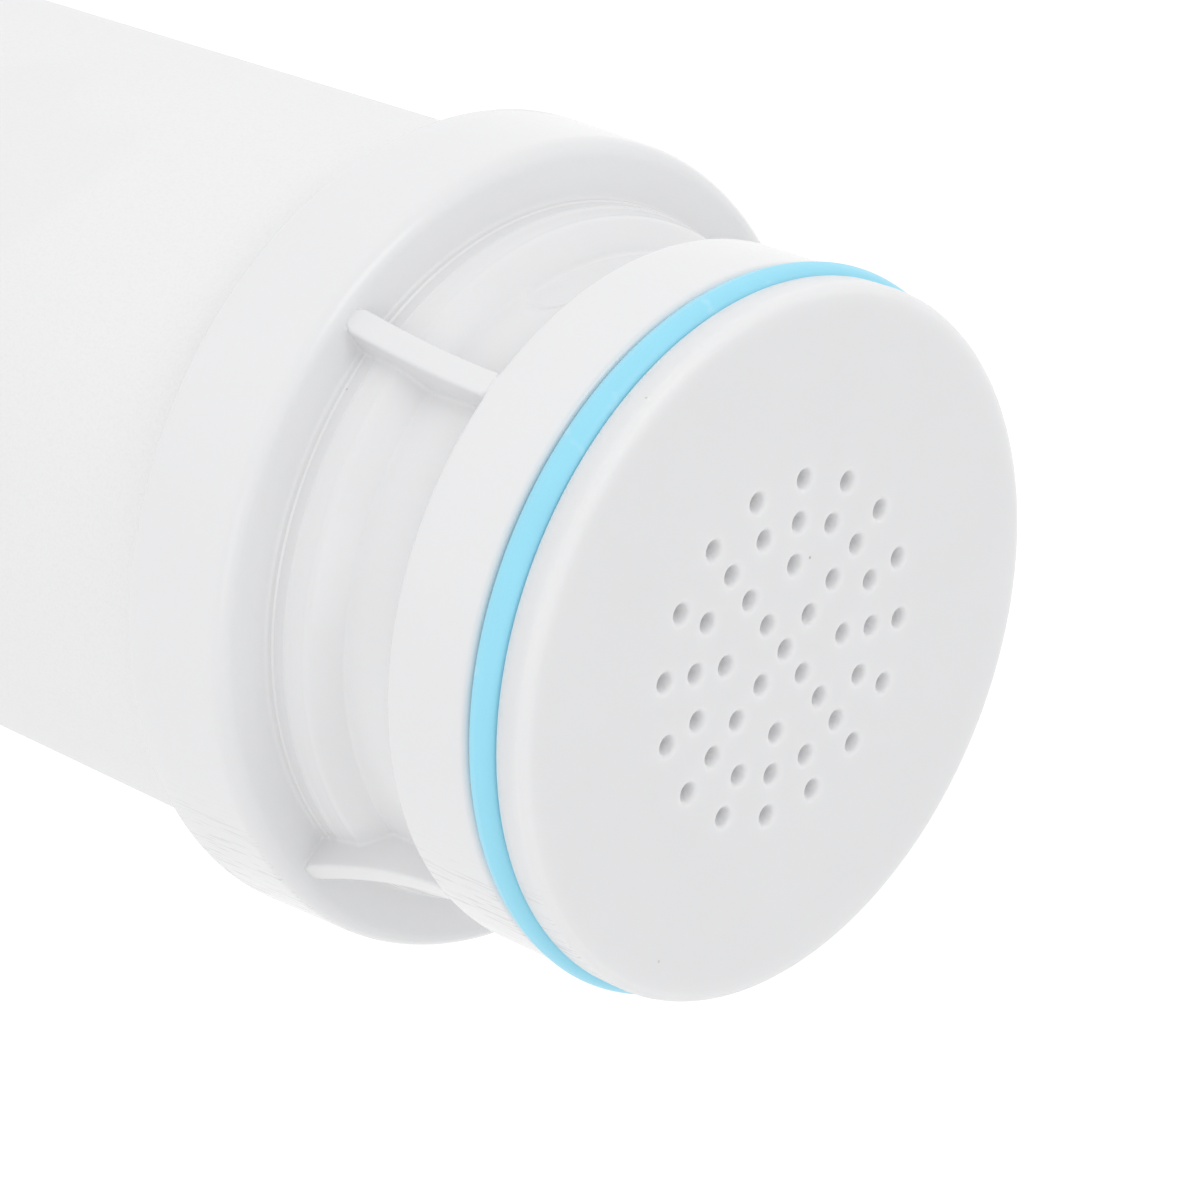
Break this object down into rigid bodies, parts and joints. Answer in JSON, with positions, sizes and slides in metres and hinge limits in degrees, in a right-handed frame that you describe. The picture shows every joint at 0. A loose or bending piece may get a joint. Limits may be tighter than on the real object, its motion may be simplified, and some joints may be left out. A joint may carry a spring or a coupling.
{
  "type": "shower filter cartridge",
  "caption": "White cylindrical shower filter cartridge with collars, a ribbed waisted neck, a sealing flange with a light blue O-ring and a flat perforated outlet disc.",
  "frame": {"origin": "centre of the foot ring's underside, at the rear end", "axes": "+Z along the cartridge's axis from the rear end to the outlet face; +X and +Y through two neighbouring ribs of the neck"},
  "size_m": [0.0598, 0.0598, 0.15],
  "materials": {
    "cap_white": "moulded ABS, cool white, semi-gloss",
    "plate_white": "moulded ABS, cool white, satin",
    "seal_blue": "light blue silicone rubber, satin",
    "tube_white": "warm white polypropylene with a fine moulded grain, matt",
    "mesh_steel": "stainless mesh",
    "inner_plastic": "natural polypropylene",
    "cotton_white": "polypropylene cotton",
    "felt_white": "needled felt",
    "carbon_black": "activated carbon granules",
    "brass_granules": "copper-zinc granules",
    "sulphite_white": "calcium sulphite beads",
    "ceramic_buff": "fired ceramic balls"
  },
  "bodies": {
    "root": {"front_cap": "cap_white", "outlet_plate": "plate_white", "front_o_ring": "seal_blue", "shell_tube": "tube_white", "outlet_screen": "mesh_steel", "outlet_screen_ring": "inner_plastic", "outlet_cotton": "cotton_white", "front_grid": "inner_plastic", "felt_1": "felt_white", "felt_2": "felt_white", "felt_3": "felt_white", "felt_4": "felt_white", "felt_5": "felt_white", "carbon_bed": "carbon_black", "brass_bed": "brass_granules", "sulphite_bed": "sulphite_white", "ceramic_bed": "ceramic_buff", "rear_grid": "inner_plastic", "inlet_screen": "mesh_steel", "inlet_screen_ring": "inner_plastic", "inlet_plate": "plate_white", "rear_cap": "cap_white"}
  },
  "joints": []
}
